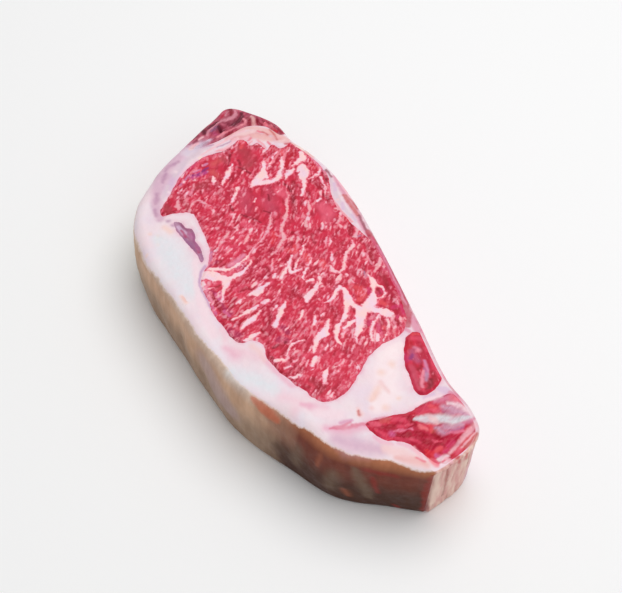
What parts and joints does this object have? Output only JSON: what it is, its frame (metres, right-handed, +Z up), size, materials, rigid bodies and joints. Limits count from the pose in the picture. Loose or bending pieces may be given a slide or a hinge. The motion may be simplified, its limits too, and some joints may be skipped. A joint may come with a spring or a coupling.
{
  "type": "raw sirloin steak",
  "caption": "Thick-cut raw sirloin steak: a marbled red eye muscle with smaller muscles beside it, ringed by pale fat, with a thick fat cap along one long side and a dark loose tip.",
  "frame": {"origin": "middle of the footprint, on the surface the steak lies on", "axes": "+X along the steak from the loose chine tip to the tail, +Y from the thick fat cap to the bone side, +Z up out of the upper cut face"},
  "size_m": [0.23, 0.1033, 0.0398],
  "materials": {
    "lean": "moist, freshly cut raw red meat",
    "dark_lean": "drier, darker raw red meat",
    "fat": "waxy pale beef fat"
  },
  "bodies": {
    "root": {"eye_muscle": "lean", "tail_muscle": "lean", "side_muscle": "lean", "tip_muscle": "dark_lean", "sliver_muscle": "dark_lean", "fat": "fat"}
  },
  "joints": []
}
